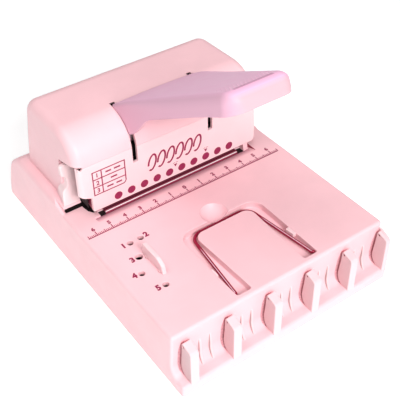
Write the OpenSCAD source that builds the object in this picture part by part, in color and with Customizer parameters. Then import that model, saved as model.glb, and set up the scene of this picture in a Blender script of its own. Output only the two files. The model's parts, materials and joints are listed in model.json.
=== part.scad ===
// Desk punch and ring binder: a lever presses a row of round punches
// through the paper in the throat of the rear head, and the hooks on the
// coved front hold the rings while the punched sheets are threaded on.
//
// Every module is drawn from the ruler's zero mark on the deck: X runs to
// the right along the ruler, Y to the back, Z up, and the deck is Z = 0.
// seat() then moves it so that the origin lies under the middle of the feet.

/* [Base] */
// Width of the base, side to side
base_w = 138; // [137:0.5:140]
// Height of the deck above the table
deck_h = 37; // [36.5:0.1:38]
// Thickness of the moulded walls
wall_t = 2.5; // [2:0.1:2.8]
// Height of the rear platform above the deck
platform_h = 4; // [3.8:0.1:4]

/* [Ring hooks] */
// Number of ring hooks on the coved front
hook_n = 6; // [4:1:6]
// Distance from one ring hook to the next
hook_pitch = 25.88; // [24:0.01:25.88]
// Thickness of a ring hook
hook_t = 5.2; // [4:0.1:5.2]

/* [Punch] */
// Number of punches in the row
punch_n = 10; // [6:2:10]
// Distance from one punched hole to the next
punch_pitch = 8.467; // [8:0.001:8.467]
// Diameter of a punched hole
punch_d = 4; // [3:0.1:4]
// Height of the gap that takes the paper
throat = 1.6; // [1.4:0.1:1.8]

/* [Lever] */
// Incline of the lever at rest, in degrees
lever_tilt = 28.5; // [27.5:0.1:28.5]
// Reach of the lever from its pivot to its tip
lever_len = 113.5; // [110:0.5:113.5]
// Half width of the lever at its root
lever_root = 26.4; // [26.2:0.1:26.8]
// Half width of the lever at its tip
lever_tip = 18.2; // [17:0.1:19]

/* [Bail and stop] */
// Diameter of the steel wire of the bail
bail_d = 1.9; // [1.6:0.1:2]
// Height of the paper stop above the deck
stop_h = 7.5; // [6:0.5:10]

/* [Hidden] */
$fn = 64;
e = 0.01;
// walls of the base, and its underside
xl = 0.9 - base_w / 2;
xr = 0.9 + base_w / 2;
zb = 1 - deck_h;
// shift from the ruler's zero mark to the middle of the underside
seat_shift = [-0.9, -7.25, deck_h];
// punch head
head_l = -62;
head_r = 60.5;
head_t = 2.2;
head_y = 13.6;
seam_z = 35;
pivot = [33, 33];
arc_r = 19.4;
// punch line, press bar and stroke
punch_y = 22.4;
bar_z = 25;
rod_x = 44;
// lever arms in their slots
lever_cx = -0.45;
arm_x = 25.05;
arm_t = 2.2;
slot_w = 3;
press_r = 11.2;
// bail pivots
bail_y = -76.3;
bail_z = -2.1;
// index holes of the paper stop
index_holes = [[-49.2, -15.4], [-42.5, -15.1], [-51.4, -27], [-46.95, -29.5],
               [-56.1, -37.9], [-46.95, -42], [-50.5, -51.4]];
// screw places
plate_screws = [[-60, -58], [61.8, -58], [-60, 72], [61.8, 72]];
feet = [[-57, -69], [58.8, -69], [-57, 90], [58.8, 90]];
frame_front = [[-40, 32], [40, 32]];
frame_rear = [[-53.5, 42], [53.5, 42]];
cover_posts = [[-56.5, 66], [55, 66]];

pink = [0.96, 0.79, 0.83];
pale = [0.99, 0.90, 0.91];
mauve = [0.86, 0.67, 0.77];
steel = [0.75, 0.76, 0.78];
dark = [0.25, 0.25, 0.27];

function arc(cx, cy, r, a0, a1, n) =
    [for (i = [0:n]) let (a = a0 + (a1 - a0) * i / n) [cx + r * cos(a), cy + r * sin(a)]];

module seat() translate(seat_shift) children();
// a (y, z) outline drawn out from x0 to x1
module along_x(x0, x1) translate([x0, 0, 0]) rotate([90, 0, 90]) linear_extrude(x1 - x0) children();
module box(a, b) translate(a) cube(b - a);
module rod_x(x0, x1, y, z, r) translate([x0, y, z]) rotate([0, 90, 0]) cylinder(h = x1 - x0, r = r);
module rod_z(p, z0, z1, r) translate([p[0], p[1], z0]) cylinder(h = z1 - z0, r = r);

// ---- base -------------------------------------------------------------

module base_outline() polygon([[-80.5, zb], [-80.5, -22], [-82.2, -1.2], [-81, 0], [88.2, 0],
    [91.2, -2.3], [93.75, -5.4], [97.4, -12.3], [100.4, -19.9], [102.9, -26.6], [104.9, -32.8], [105, zb]]);

module base_hollow() polygon([[-80.5 + wall_t, zb - 1], [-80.5 + wall_t, -21.8], [-82.2 + wall_t, -2.5],
    [87.5, -2.5], [91.5, -7], [95, -13.5], [97.9, -20.8], [100.4, -27.5], [102.3, -33.4], [102.4, zb - 1]]);

// trough of the bail, seen from above
module bail_trough() difference() {
    polygon(concat([[-26.2, -78.6], [26.2, -78.6]],
        arc(18.2, -34.2, 8, 0, 90, 10), arc(-18.2, -34.2, 8, 90, 180, 10)));
    polygon([[-17.3, -79], [17.3, -79], [18.8, -38], [16.5, -32.4], [12, -31], [-12, -31], [-16.5, -32.4], [-18.8, -38]]);
}

module base_shell() color(pink) seat() difference() {
    union() {
        difference() {
            along_x(xl, xr) base_outline();
            along_x(xl + wall_t, xr - wall_t) base_hollow();
        }
        // bed under the die plate, and bed of the bail's trough
        box([-55, 7, -6], [55, 39, -1]);
        box([-31, -79, -7], [31, -13, -1]);
        for (p = plate_screws) rod_z(p, zb + 2, -1, 3.5);
    }
    // seat of the die plate, the slot in front of it and the ramp down to it
    box([-47.2, 13.8, -2.5], [45.2, 36.3, 1]);
    box([-50.8, 12.6, -4.2], [48.8, 17, 1]);
    along_x(-54, 54) polygon([[8.6, 0], [12.7, -2.2], [12.7, 1], [8.6, 1]]);
    // chips fall through here
    box([-41.5, 19, -8], [41.5, 26, 1]);
    // trough of the bail, its pivot bores and the finger scoop behind it
    translate([0, 0, -4.2]) linear_extrude(6) bail_trough();
    rod_x(-29.8, -26, bail_y, bail_z, bail_d / 2);
    rod_x(26, 29.8, bail_y, bail_z, bail_d / 2);
    rod_z([0.5, -22.5], -4.2, 1, 8);
    for (p = index_holes) rod_z(p, -9, 1, 1.7);
    // doorway of the chip drawer
    box([xr - wall_t - 1, 10, -34], [xr + 1, 60, -7]);
    for (p = plate_screws) rod_z(p, zb + 1, -20, 1.25);
    for (p = frame_front) rod_z(p, -8, 1, 1.45);
    for (p = frame_rear) rod_z(p, -8, 1, 1.45);
    for (p = cover_posts) rod_z(p, -8, 1, 1.7);
}

// round cove under the front wall with a flat floor, and a pair of thin ribs per bay
cove = concat(arc(-90.5, -22, 10, 0, -45, 8), [for (i = [1:8]) [-83.43 - 0.88375 * i, -29.07 - 0.03 * i]]);
function wall_y(z) = -80.5 - 1.7 * (z + 22) / 20.8;

module hook_rail() color(pale) seat() {
    along_x(xl, xr) polygon(concat([[-80.5, zb]], cove, [[-90.5, zb]]));
    for (i = [0:hook_n - 2]) for (d = [10.7, 16.8])
        along_x(-63 + i * hook_pitch + d, -63 + i * hook_pitch + d + 1.2)
            polygon(concat([[wall_y(-12), -12]], [for (k = [0:8]) cove[k]],
                [for (k = [7:-1:0]) [-90.5 + 9 * cos(-90 * k / 16), -22 + 9 * sin(-90 * k / 16)]],
                [[wall_y(-13.2) - 1, -13.2]]));
}

module ring_hooks() color(pale) seat() for (i = [0:hook_n - 1])
    along_x(-63 + i * hook_pitch, min(-63 + i * hook_pitch + hook_t, xr))
        polygon(concat([for (k = [1:15]) cove[k]], [[-90.3, cove[15][1]], [-90.3, -9.2]],
            arc(-88.1, -9.2, 2.2, 180, 116, 5),
            [[-84.3, -4.9], [-83.9, -5.6], [-83.2, -13], [-82.2, -18.6], [-81.3, -21.4]]));

module rear_platform() color(pink) seat() difference() {
    along_x(xl, xr) polygon([[26, 0], [26, platform_h], [80, platform_h], [84.5, platform_h - 1.3], [88.2, 0]]);
    // bay of the punch frame
    box([-51.6, 20, -1], [51.6, 37, platform_h + 1]);
    // paper slit: closed at the left end, open at the right
    box([-66, 20, -1], [-51, 31, 2.6]);
    box([51, 20, -1], [xr + 1, 31, 2.6]);
    // left front corner slopes down to the deck
    along_x(xl - 1, -66.2) polygon([[25, 0.6], [26.8, 0.6], [36, platform_h + 0.01], [36, platform_h + 1], [25, platform_h + 1]]);
    for (p = frame_rear) rod_z(p, -1, platform_h + 1, 1.6);
    for (p = cover_posts) rod_z(p, -1, platform_h + 1, 1.7);
}

module bottom_plate() color(dark) seat() difference() {
    box([xl + wall_t + 0.2, -77.8, zb], [xr - wall_t - 0.2, 102, zb + 2]);
    for (p = plate_screws) {
        rod_z(p, zb - 1, zb + 1.2, 3);
        rod_z(p, zb, zb + 3, 1.5);
    }
    for (p = feet) rod_z(p, zb - 1, zb + 1, 6.1);
}

module bottom_screws() color(steel) seat() for (p = plate_screws) difference() {
    union() {
        rod_z(p, zb + 0.1, zb + 1.2, 2.8);
        rod_z(p, zb + 1, zb + 11, 1.2);
    }
    translate([p[0] - 1.8, p[1] - 0.3, zb]) cube([3.6, 0.6, 0.7]);
    translate([p[0] - 0.3, p[1] - 1.8, zb]) cube([0.6, 3.6, 0.7]);
}

module rubber_feet() color(dark) seat() for (p = feet) rod_z(p, -deck_h, zb + 1, 6);

// ---- punch frame --------------------------------------------------------

function punch_x(i) = (i - (punch_n - 1) / 2) * punch_pitch;

module die_plate() color(steel) seat() difference() {
    box([-47, 13.9, -2.5], [45, 36.2, 0]);
    for (i = [0:punch_n - 1]) rod_z([punch_x(i), punch_y], -3, 1, punch_d / 2 + 0.06);
    for (p = frame_front) rod_z(p, -3, 1, 1.6);
}

module paper_back_stop() color(steel) seat() difference() {
    box([-50.5, 27.2, 0], [50.5, 36, throat]);
    for (p = frame_front) rod_z(p, -1, 4, 1.6);
}

module guide_plate() color(steel) seat() difference() {
    box([-50.5, 15.5, throat], [50.5, 36, platform_h]);
    for (i = [0:punch_n - 1]) rod_z([punch_x(i), punch_y], 0, 6, punch_d / 2 + 0.05);
    for (p = frame_front) rod_z(p, 0, 6, 1.6);
}

// frame cheek: s = -1 on the left, 1 on the right
module side_plate(s) mirror([s > 0 ? 0 : 1, 0, 0]) difference() {
    union() {
        along_x(47.6, 50) polygon([[17, platform_h], [17, 14], [25.5, 41], [40.5, 41], [46.5, 28], [46.5, platform_h]]);
        box([36.5, 28.5, platform_h], [48, 35.5, platform_h + 2.2]);
        box([49.6, 38, platform_h], [57, 46, platform_h + 2.2]);
        // front shield, closes the gap beside the left post
        box([49.6, 28.2, platform_h], [55.8, 29.6, 26]);
    }
    rod_x(40, 60, pivot[0], pivot[1], 4.02);
    rod_z([40, 32], 0, 10, 1.6);
    rod_z([53.5, 42], 0, 10, 1.6);
}
module side_plate_left() color(steel) seat() side_plate(-1);
module side_plate_right() color(steel) seat() side_plate(1);

module screw_head(p, z) difference() {
    rod_z(p, z, z + 1.7, 2.9);
    translate([p[0] - 1.9, p[1] - 0.35, z + 0.9]) cube([3.8, 0.7, 1]);
    translate([p[0] - 0.35, p[1] - 1.9, z + 0.9]) cube([0.7, 3.8, 1]);
}

module frame_screws() color(steel) seat() {
    for (p = frame_front) {
        screw_head(p, platform_h + 2.2);
        rod_z(p, -5, platform_h + 2.3, 1.4);
    }
    for (p = frame_rear) {
        screw_head(p, platform_h + 2.2);
        rod_z(p, -2.4, platform_h + 2.3, 1.4);
    }
}

module pivot_shaft() color(steel) seat() difference() {
    rod_x(-53, 53, pivot[0], pivot[1], 3.98);
    for (s = [-1, 1]) translate([s * 51.05 - 0.5, pivot[0], pivot[1]]) rotate([0, 90, 0])
        difference() {
            cylinder(h = 1, r = 6);
            translate([0, 0, -1]) cylinder(h = 3, r = 3.2);
        }
}

module shaft_clips() color(dark) seat() for (s = [-1, 1])
    translate([s * 51.05 - 0.45, pivot[0], pivot[1]]) rotate([0, 90, 0]) difference() {
        cylinder(h = 0.9, r = 6.2);
        translate([0, 0, -1]) cylinder(h = 3, r = 3.25);
        translate([-7, -2.2, -1]) cube([7, 4.4, 3]);
    }

module guide_rods() color(steel) seat() for (s = [-1, 1]) {
    rod_z([s * rod_x, punch_y], platform_h, 38, 1.6);
    rod_z([s * rod_x, punch_y], 38 - e, 39.4, 1.2);
}

// side and end faces of a tube of n + 1 rings with k points each
function tube_faces(n, k) = concat([[for (j = [0:k - 1]) j]], [[for (j = [k - 1:-1:0]) n * k + j]],
    [for (i = [0:n - 1]) for (j = [0:k - 1])
        [i * k + j, (i + 1) * k + j, (i + 1) * k + (j + 1) % k, i * k + (j + 1) % k]]);

// compression spring swept along its helix
module coil(p, z0, z1, rm, rw, turns) {
    n = turns * 14;
    k = 8;
    pts = [for (i = [0:n]) for (j = [0:k - 1])
        let (a = 360 * turns * i / n, b = 360 * j / k, r = rm + rw * cos(b))
        [p[0] + r * cos(a), p[1] + r * sin(a), z0 + rw + (z1 - z0 - 2 * rw) * i / n + rw * sin(b)]];
    polyhedron(points = pts, faces = tube_faces(n, k), convexity = 10);
}
module return_springs() color(steel) seat() for (s = [-1, 1])
    coil([s * rod_x, punch_y], platform_h + 0.05, bar_z - 0.05, 2.6, 0.4, 7);

// leg of the frame that stands in the cover's cut-out
module left_post() color(pale) seat() {
    box([-61.6, 28, platform_h], [-56, 33, 31.5]);
    box([-63.1, 28, 23], [-61.6 + e, 32.5, 31.5]);
    translate([0, 33, 0]) rotate([90, 0, 0]) linear_extrude(5) polygon([[-61.6 + e, platform_h], [-61.6 + e, 15], [-63.4, 13], [-65, platform_h]]);
    along_x(-63.4, -62.2) polygon([[33 - e, platform_h], [41, platform_h], [33 - e, 12.5]]);
}

// ---- head ---------------------------------------------------------------

module head_outline() polygon(concat([[79.5, platform_h], [27, platform_h], [27, 3.6], [head_y, 3.6]],
    arc(pivot[0], pivot[1], arc_r, 180, 90, 24), arc(60.2, 40.9, 11.5, 90, 10, 12), [[76, 22.5]]));
module head_hollow() polygon(concat([[79.5 - head_t, 0], [head_y + head_t, 0]],
    arc(pivot[0], pivot[1], arc_r - head_t, 180, 90, 24), arc(60.2, 40.9, 11.5 - head_t, 90, 10, 12), [[76 - head_t, 22.3]]));

module head_cover() color(pink) seat() difference() {
    union() {
        difference() {
            along_x(head_l, head_r) head_outline();
            along_x(head_l + head_t, head_r - head_t) head_hollow();
        }
        for (p = cover_posts) rod_z(p, platform_h, 18, 3.6);
    }
    // room for the front panel, and the cut-out at the left front corner
    box([head_l - 1, head_y - 1, 0], [head_r - head_t, head_y + head_t + 0.1, seam_z]);
    box([head_l - 1, head_y - 1, 0], [head_l + head_t + 1, 33.2, seam_z]);
    for (s = [-1, 1]) box([lever_cx + s * arm_x - slot_w / 2, 8, seam_z - 1], [lever_cx + s * arm_x + slot_w / 2, 35.2, 60]);
    for (p = cover_posts) rod_z(p, 0, 16, 1.3);
}

module front_panel() color(pale) seat() difference() {
    box([head_l, head_y, 3.6], [head_r - head_t - 0.1, 15.4, seam_z - 0.05]);
    // lower left corner stops short so that paper can pass
    box([head_l - 1, head_y - 1, 0], [-54, 17, 15]);
    for (s = [-1, 1]) box([lever_cx + s * arm_x - slot_w / 2, 8, 25], [lever_cx + s * arm_x + slot_w / 2, 20, 60]);
}

module cover_screws() color(steel) seat() for (p = cover_posts) {
    rod_z(p, -4.2, -2.5, 3);
    rod_z(p, -2.6, 14, 1.25);
}

module bail_clips() color(pale) seat() for (s = [-1, 1]) mirror([s > 0 ? 0 : 1, 0, 0])
    along_x(24.4, 26.2) polygon([[-61.6, -2.2], [-61.6, -0.6], [-60.6, 0], [-56.5, 0], [-55.5, -0.6], [-55.5, -2.2]]);

// ---- lever ----------------------------------------------------------------

// lever frame: pivot at the origin, the lever runs to -Y and its top is level
module lever_frame() seat() translate([lever_cx, pivot[0], pivot[1]]) rotate([-lever_tilt, 0, 0]) children();
top_z = 18.25;
function half_w(s) = lever_root + (lever_tip - lever_root) * (s - 20) / (lever_len - 20);

module lever_plan(inset, s0, s1, r) {
    w = half_w(s1) - inset;
    polygon(concat([[half_w(s0) - inset, -s0]],
        arc(w - r, -s1 + r, r, 0, -90, 8), arc(-w + r, -s1 + r, r, -90, -180, 8), [[-half_w(s0) + inset, -s0]]));
}

module lever_arm() {
    along_x(-arm_t / 2, arm_t / 2) polygon(concat([[0, 0]], [for (a = [4:5.3:57]) [-20.6 * cos(a), 20.6 * sin(a)]]));
}

press_at = [press_r * cos(22.5 - lever_tilt), press_r * sin(22.5 - lever_tilt)];

module lever_shell() color(mauve) lever_frame() difference() {
    union() {
        difference() {
            intersection() {
                along_x(-40, 40) polygon([[-5, 16.6], [-10, 17], [-16, 17.6], [-24, 18.15], [-32, top_z], [-lever_len + 4, top_z],
                    [-lever_len + 2.1, 16.4], [-lever_len + 0.6, 12.5], [-lever_len, 7.3], [-lever_len + 9.5, 7.9], [-94, 8.3],
                    [-60, 8.1], [-44, 7.7], [-37, 5.7], [-30.5, 2.7], [-27.1, 1.3], [-20.3, 0.3], [-17, 0.3], [-5, 12]]);
                translate([0, 0, -5]) linear_extrude(40) lever_plan(0, 4, lever_len, 8);
            }
            translate([0, 0, -10]) linear_extrude(top_z - 2.4 + 10) lever_plan(2.45, 4, lever_len - 6.4, 4);
            rod_x(-50, 50, 0, 0, 19.8);
        }
        for (s = [-1, 1]) {
            translate([s * arm_x, 0, 0]) lever_arm();
            rod_x(s * 24.325 - 1.825, s * 24.325 + 1.825, 0, 0, 6.2);
            rod_x(s * arm_x - arm_t / 2, s * arm_x + arm_t / 2, -press_at[0], press_at[1], 3.7);
        }
    }
    rod_x(-50, 50, 0, 0, 4.05);
    rod_x(-50, 50, -press_at[0], press_at[1], 2.05);
    for (s = [40, 84]) rod_z([0, -s], 10, 17.3, 1.3);
}

module lever_core() color(steel) lever_frame() difference() {
    translate([0, 0, 14.4]) linear_extrude(1.4) polygon([[-14, -26], [14, -26], [12.5, -98], [-12.5, -98]]);
    for (s = [40, 84]) rod_z([0, -s], 10, 17, 1.4);
}

module lever_screws() color(steel) lever_frame() for (s = [40, 84]) difference() {
    union() {
        rod_z([0, -s], 12.8, 14.4, 3);
        rod_z([0, -s], 14.3, 17.2, 1.2);
    }
    translate([-2, -s - 0.35, 12.5]) cube([4, 0.7, 1.1]);
    translate([-0.35, -s - 2, 12.5]) cube([0.7, 4, 1.1]);
}

module press_rod() color(steel) lever_frame() {
    rod_x(-23.7, 23.7, -press_at[0], press_at[1], 4);
    rod_x(-26.8, 26.8, -press_at[0], press_at[1], 2);
}

// ---- press bar and punches ----------------------------------------------

module press_bar() color(steel) seat() difference() {
    box([-46.6, 18.8, bar_z], [46.6, 26, 33]);
    for (s = [-1, 1]) rod_z([s * rod_x, punch_y], bar_z - 1, 40, 1.65);
    for (i = [0:punch_n - 1]) rod_z([punch_x(i), punch_y], bar_z - 1, 31, punch_d / 2 + 0.05);
}

module punch_pins() color(steel) seat() for (i = [0:punch_n - 1])
    rod_z([punch_x(i), punch_y], 2.4, 30.9, punch_d / 2);

// ---- wire bail, paper stop, chip drawer ---------------------------------

// legs splay from the back bar to the pivots, with rounded corners between
bail_ax = 24.8;
bail_by = -28;
bail_cr = 7;
bail_t = atan2(5.5, bail_by - bail_y);
bail_bend = 90 - bail_t;
bail_cx = -bail_ax + 5.5 + bail_cr * tan(bail_bend / 2);
// a leg runs from a little in front of its pivot to just inside its bend
bail_leg = [[-bail_ax - 1.4 * sin(bail_t), bail_y - 1.4 * cos(bail_t)],
            [bail_cx - bail_cr * cos(bail_t), bail_by - bail_cr + bail_cr * sin(bail_t)]];
// the straight runs are drawn a hair thinner than the bends
bail_r = bail_d / 2 - 0.02;

module wire_bail() color(steel) seat() translate([0, 0, bail_z]) {
    for (s = [-1, 1]) mirror([s > 0 ? 1 : 0, 0, 0]) {
        translate(bail_leg[0]) rotate([0, 0, 90 - bail_t]) rotate([0, 90, 0])
            cylinder(h = norm(bail_leg[1] - bail_leg[0]) + 0.3, r = bail_r);
        translate([bail_cx, bail_by - bail_cr, 0]) rotate([0, 0, 90])
            rotate_extrude(angle = bail_bend) translate([bail_cr, 0]) circle(r = bail_d / 2);
        // pivot stub
        rod_x(-bail_ax - 4.3, -bail_ax, bail_y, 0, bail_r - 0.04);
    }
    rod_x(bail_cx - 0.3, -bail_cx + 0.3, bail_by, 0, bail_r);
}

module paper_stop() color(pale) seat() {
    along_x(-48.2, -45.7) polygon(concat([[-26, 0.05], [-26, stop_h]], arc(-38, 0.05, stop_h - 0.05, 90, 180, 12)));
    for (y = [-29.5, -42]) rod_z([-46.95, y], -3.2, 0.5, 1.6);
}

module chip_drawer() color(pink) seat() difference() {
    union() {
        box([-52, 12, -33.7], [66, 58, -9]);
        box([xr - 4, 10.25, -33.7], [xr, 59.75, -7.25]);
    }
    box([-50.4, 13.6, -32.1], [xr - 4, 56.4, 0]);
    // finger recess
    box([xr - 2.6, 24, -25], [xr + 1, 46, -14]);
    box([xr - 2.6, 24, -27], [xr - 1.4, 46, -24]);
}

base_shell();
hook_rail();
ring_hooks();
rear_platform();
bottom_plate();
bottom_screws();
rubber_feet();
die_plate();
paper_back_stop();
guide_plate();
side_plate_left();
side_plate_right();
frame_screws();
pivot_shaft();
shaft_clips();
guide_rods();
return_springs();
left_post();
head_cover();
front_panel();
cover_screws();
bail_clips();
lever_shell();
lever_core();
lever_screws();
press_rod();
press_bar();
punch_pins();
wire_bail();
paper_stop();
chip_drawer();
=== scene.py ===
import json
import math

import bmesh
import bpy
import numpy as np
from mathutils import Matrix, Vector


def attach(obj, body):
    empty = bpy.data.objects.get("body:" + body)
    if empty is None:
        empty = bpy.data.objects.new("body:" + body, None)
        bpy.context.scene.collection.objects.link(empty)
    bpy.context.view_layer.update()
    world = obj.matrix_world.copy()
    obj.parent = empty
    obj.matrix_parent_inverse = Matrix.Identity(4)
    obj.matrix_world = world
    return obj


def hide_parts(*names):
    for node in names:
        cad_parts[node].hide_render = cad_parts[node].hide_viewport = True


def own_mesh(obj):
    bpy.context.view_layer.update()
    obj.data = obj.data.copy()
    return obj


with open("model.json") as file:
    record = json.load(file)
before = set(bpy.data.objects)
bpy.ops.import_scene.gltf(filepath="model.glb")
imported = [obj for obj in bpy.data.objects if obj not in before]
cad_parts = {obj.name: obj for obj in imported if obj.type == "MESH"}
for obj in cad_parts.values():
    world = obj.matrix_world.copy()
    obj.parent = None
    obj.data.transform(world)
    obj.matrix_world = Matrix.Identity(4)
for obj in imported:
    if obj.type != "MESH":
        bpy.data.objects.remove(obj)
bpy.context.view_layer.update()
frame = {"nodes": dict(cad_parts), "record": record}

# Every shape below is drawn in millimetres from the ruler's zero mark on the
# deck (X right, Y back, Z up, deck at Z = 0). finish() moves a finished mesh
# into the row frame, in metres.
SHIFT = (-0.9, -7.25, 37.0)
XL, XR = -68.1, 69.9
scene = bpy.context.scene
col = scene.collection


# ---------------------------------------------------------------- materials

def lin(r, g, b):
    """Linear colour of an 8-bit sRGB triple."""
    out = []
    for v in (r, g, b):
        v /= 255.0
        out.append(v / 12.92 if v <= 0.04045 else ((v + 0.055) / 1.055) ** 2.4)
    return tuple(out)


def new_mat(name):
    m = bpy.data.materials.new(name)
    m.use_nodes = True
    nt = m.node_tree
    bsdf = next(n for n in nt.nodes if n.type == "BSDF_PRINCIPLED")
    return m, nt, bsdf


def shade(c, k):
    return tuple(min(1.0, x * k) for x in c) + (1.0,)


def mix_ramp(nt, fac, c0, c1, p0=0.35, p1=0.65):
    ramp = nt.nodes.new("ShaderNodeValToRGB")
    ramp.color_ramp.elements[0].position = p0
    ramp.color_ramp.elements[0].color = c0
    ramp.color_ramp.elements[1].position = p1
    ramp.color_ramp.elements[1].color = c1
    nt.links.new(fac, ramp.inputs["Fac"])
    return ramp.outputs["Color"]


def noise(nt, coord, scale, detail=3.0, rough=0.5, stretch=None):
    if stretch:
        mp = nt.nodes.new("ShaderNodeMapping")
        mp.inputs["Scale"].default_value = stretch
        nt.links.new(coord, mp.inputs["Vector"])
        coord = mp.outputs["Vector"]
    n = nt.nodes.new("ShaderNodeTexNoise")
    n.inputs["Scale"].default_value = scale
    n.inputs["Detail"].default_value = detail
    n.inputs["Roughness"].default_value = rough
    nt.links.new(coord, n.inputs["Vector"])
    return n.outputs["Fac"]


def to_range(nt, fac, lo, hi, a=0.3, b=0.7):
    mr = nt.nodes.new("ShaderNodeMapRange")
    mr.inputs["From Min"].default_value = a
    mr.inputs["From Max"].default_value = b
    mr.inputs["To Min"].default_value = lo
    mr.inputs["To Max"].default_value = hi
    nt.links.new(fac, mr.inputs["Value"])
    return mr.outputs["Result"]


def add_bump(nt, bsdf, height, strength, dist):
    bp = nt.nodes.new("ShaderNodeBump")
    bp.inputs["Strength"].default_value = strength
    bp.inputs["Distance"].default_value = dist
    nt.links.new(height, bp.inputs["Height"])
    nt.links.new(bp.outputs["Normal"], bsdf.inputs["Normal"])


def coords(nt):
    return nt.nodes.new("ShaderNodeTexCoord").outputs["Object"]


def plastic(name, c, rough=0.42, vary=0.018, grain=0.10, spec=0.42):
    """Satin moulded plastic: cloudy tone, a fine eroded-mould grain and slightly uneven gloss."""
    m, nt, b = new_mat(name)
    co = coords(nt)
    cloud = noise(nt, co, 55.0, 4.0, 0.55)
    nt.links.new(mix_ramp(nt, cloud, shade(c, 1 - vary), shade(c, 1 + vary)), b.inputs["Base Color"])
    nt.links.new(to_range(nt, noise(nt, co, 160.0, 3.0), rough - 0.05, rough + 0.05), b.inputs["Roughness"])
    add_bump(nt, b, noise(nt, co, 2600.0, 2.0, 0.6), grain, 0.00004)
    b.inputs["Specular IOR Level"].default_value = spec
    return m


def steel(name, c, rough, stretch, scale=900.0, vary=0.10, bump=0.12, metal=1.0, coat=0.0):
    """Metal with a drawn or ground grain along one axis."""
    m, nt, b = new_mat(name)
    co = coords(nt)
    grain = noise(nt, co, scale, 4.0, 0.6, stretch)
    nt.links.new(mix_ramp(nt, grain, shade(c, 1 - vary), shade(c, 1 + vary)), b.inputs["Base Color"])
    nt.links.new(to_range(nt, grain, rough - 0.07, rough + 0.07), b.inputs["Roughness"])
    add_bump(nt, b, grain, bump, 0.00003)
    b.inputs["Metallic"].default_value = metal
    b.inputs["Coat Weight"].default_value = coat
    b.inputs["Coat Roughness"].default_value = 0.08
    return m


def faced(name, c, other, axis, lo, hi, rough=0.40, spec=0.35, left=None):
    """Plastic with painted light: its tone turns from c to the other tone on faces that look along one axis, lit and
    shaded tones painted by facing.
    """
    m, nt, b = new_mat(name)
    tc = nt.nodes.new("ShaderNodeTexCoord")
    sep = nt.nodes.new("ShaderNodeSeparateXYZ")
    nt.links.new(tc.outputs["Normal"], sep.inputs["Vector"])
    turn = to_range(nt, sep.outputs[axis], 0.0, 1.0, lo, hi)
    tone = mix_ramp(nt, turn, c + (1.0,), other + (1.0,), 0.0, 1.0)
    if left:
        # a third tone, a painted shade, on the faces that look to the left
        mix = nt.nodes.new("ShaderNodeMix")
        mix.data_type = "RGBA"
        nt.links.new(to_range(nt, sep.outputs[0], 0.0, 1.0, -0.05, -0.7), mix.inputs[0])
        nt.links.new(tone, mix.inputs[6])
        mix.inputs[7].default_value = left + (1.0,)
        tone = mix.outputs[2]
    nt.links.new(tone, b.inputs["Base Color"])
    nt.links.new(to_range(nt, noise(nt, tc.outputs["Object"], 160.0, 3.0), rough - 0.05, rough + 0.05), b.inputs["Roughness"])
    add_bump(nt, b, noise(nt, tc.outputs["Object"], 2600.0, 2.0, 0.6), 0.10, 0.00004)
    b.inputs["Specular IOR Level"].default_value = spec
    return m


def wire(name, c, painted_highlight, y0, y1):
    """Wire with a painted highlight: a bright streak along the top of its legs, on faces turned one fixed way."""
    m, nt, b = new_mat(name)
    tc = nt.nodes.new("ShaderNodeTexCoord")
    dot = nt.nodes.new("ShaderNodeVectorMath")
    dot.operation = "DOT_PRODUCT"
    nt.links.new(tc.outputs["Normal"], dot.inputs[0])
    dot.inputs[1].default_value = (-0.40, 0.0, 0.917)
    sep = nt.nodes.new("ShaderNodeSeparateXYZ")
    nt.links.new(tc.outputs["Object"], sep.inputs["Vector"])
    parts = [to_range(nt, dot.outputs["Value"], 0.0, 1.0, 0.962, 0.992), to_range(nt, sep.outputs[1], 0.0, 1.0, y0, y1)]
    mul = nt.nodes.new("ShaderNodeMath")
    mul.operation = "MULTIPLY"
    nt.links.new(parts[0], mul.inputs[0])
    nt.links.new(parts[1], mul.inputs[1])
    nt.links.new(mix_ramp(nt, mul.outputs[0], c + (1.0,), painted_highlight + (1.0,), 0.0, 1.0), b.inputs["Base Color"])
    nt.links.new(to_range(nt, noise(nt, tc.outputs["Object"], 900.0, 4.0, 0.6, (1.0, 0.05, 1.0)), 0.16, 0.28), b.inputs["Roughness"])
    b.inputs["Metallic"].default_value = 0.2
    return m


def sloped(name, c, other, y0, y1):
    """Plastic painted darker from y0 to y1, a painted shade."""
    m, nt, b = new_mat(name)
    co = coords(nt)
    sep = nt.nodes.new("ShaderNodeSeparateXYZ")
    nt.links.new(co, sep.inputs["Vector"])
    nt.links.new(mix_ramp(nt, to_range(nt, sep.outputs[1], 0.0, 1.0, y0, y1), c + (1.0,), other + (1.0,), 0.0, 1.0), b.inputs["Base Color"])
    nt.links.new(to_range(nt, noise(nt, co, 160.0, 3.0), 0.37, 0.47), b.inputs["Roughness"])
    add_bump(nt, b, noise(nt, co, 2600.0, 2.0, 0.6), 0.10, 0.00004)
    return m


def rubber(name, c):
    m, nt, b = new_mat(name)
    co = coords(nt)
    n = noise(nt, co, 1500.0, 4.0, 0.6)
    nt.links.new(mix_ramp(nt, n, shade(c, 0.75), shade(c, 1.35)), b.inputs["Base Color"])
    nt.links.new(to_range(nt, n, 0.62, 0.82), b.inputs["Roughness"])
    add_bump(nt, b, n, 0.3, 0.00006)
    return m


def ink(name, c):
    """Pad print: dense ink with a slightly mottled edge-to-edge tone."""
    m, nt, b = new_mat(name)
    co = coords(nt)
    n = noise(nt, co, 700.0, 4.0, 0.6)
    nt.links.new(mix_ramp(nt, n, shade(c, 0.88), shade(c, 1.14)), b.inputs["Base Color"])
    nt.links.new(to_range(nt, n, 0.40, 0.55), b.inputs["Roughness"])
    b.inputs["Specular IOR Level"].default_value = 0.35
    return m


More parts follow.
